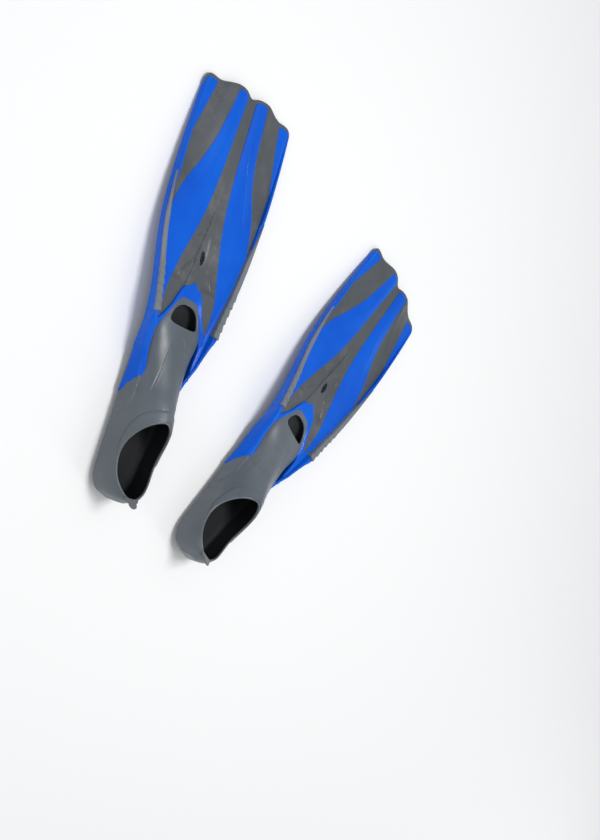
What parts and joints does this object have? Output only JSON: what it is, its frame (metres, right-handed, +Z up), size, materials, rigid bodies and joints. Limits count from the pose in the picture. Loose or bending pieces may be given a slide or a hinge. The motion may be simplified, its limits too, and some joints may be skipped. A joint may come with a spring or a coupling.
{
  "type": "swim fins",
  "caption": "Pair of full-foot swim fins: closed rubber foot pockets with toe openings and heel pull tabs, stiff glossy side rails and blade ribs with soft rubber channels, scalloped tips.",
  "frame": {"origin": "middle of the pair's footprint, on the floor plane under the soles", "axes": "+Y from the heels towards the blade tips, +X towards the right fin, +Z up out of the top of the feet"},
  "size_m": [0.6738, 0.6243, 0.0773],
  "materials": {
    "pocket_rubber": "satin",
    "tread_rubber": "matte",
    "tab_rubber": "satin",
    "cap_rubber": "satin",
    "blade_rubber": "satin",
    "blue_polymer": "gloss"
  },
  "bodies": {
    "left_pocket": {"left_foot_pocket": "pocket_rubber", "left_outsole": "tread_rubber", "left_pocket_frame": "blue_polymer", "left_insert_root": "blade_rubber", "left_cap_root_a": "cap_rubber", "left_cap_root_b": "cap_rubber"},
    "left_blade": {"left_blade_frame_a": "blue_polymer", "left_blade_frame_b": "blue_polymer", "left_centre_insert": "blade_rubber", "left_tip_trim": "blade_rubber", "left_rail_cap_a": "cap_rubber", "left_rail_cap_b": "cap_rubber", "left_channel_a": "blade_rubber", "left_channel_b": "blade_rubber"},
    "left_tab": {"left_heel_tab": "tab_rubber"},
    "right_pocket": {"right_foot_pocket": "pocket_rubber", "right_outsole": "tread_rubber", "right_pocket_frame": "blue_polymer", "right_insert_root": "blade_rubber", "right_cap_root_a": "cap_rubber", "right_cap_root_b": "cap_rubber"},
    "right_blade": {"right_blade_frame_a": "blue_polymer", "right_blade_frame_b": "blue_polymer", "right_centre_insert": "blade_rubber", "right_tip_trim": "blade_rubber", "right_rail_cap_a": "cap_rubber", "right_rail_cap_b": "cap_rubber", "right_channel_a": "blade_rubber", "right_channel_b": "blade_rubber"},
    "right_tab": {"right_heel_tab": "tab_rubber"}
  },
  "joints": [
    {"name": "left_blade_flex", "type": "hinge", "parent": "left_pocket", "child": "left_blade", "pos_m": [-0.1787, 0.02872, 0.027], "axis": [0.9703, 0.2419, 0], "range_deg": [-20, 20], "stiffness_Nm_per_rad": 15},
    {"name": "left_tab_flex", "type": "hinge", "parent": "left_pocket", "child": "left_tab", "pos_m": [-0.09694, -0.29924, 0.0632], "axis": [0.9703, 0.2419, 0], "range_deg": [-45, 40], "stiffness_Nm_per_rad": 0.05},
    {"name": "right_blade_flex", "type": "hinge", "parent": "right_pocket", "child": "right_blade", "pos_m": [0.1787, 0.02872, 0.027], "axis": [0.9703, -0.2419, 0], "range_deg": [-20, 20], "stiffness_Nm_per_rad": 15},
    {"name": "right_tab_flex", "type": "hinge", "parent": "right_pocket", "child": "right_tab", "pos_m": [0.09694, -0.29924, 0.0632], "axis": [0.9703, -0.2419, 0], "range_deg": [-45, 40], "stiffness_Nm_per_rad": 0.05},
    {"name": "right_fin_lift", "type": "slide", "parent": "left_pocket", "child": "right_pocket", "axis": [0, 0, 1], "range_m": [0, 0.3]}
  ]
}
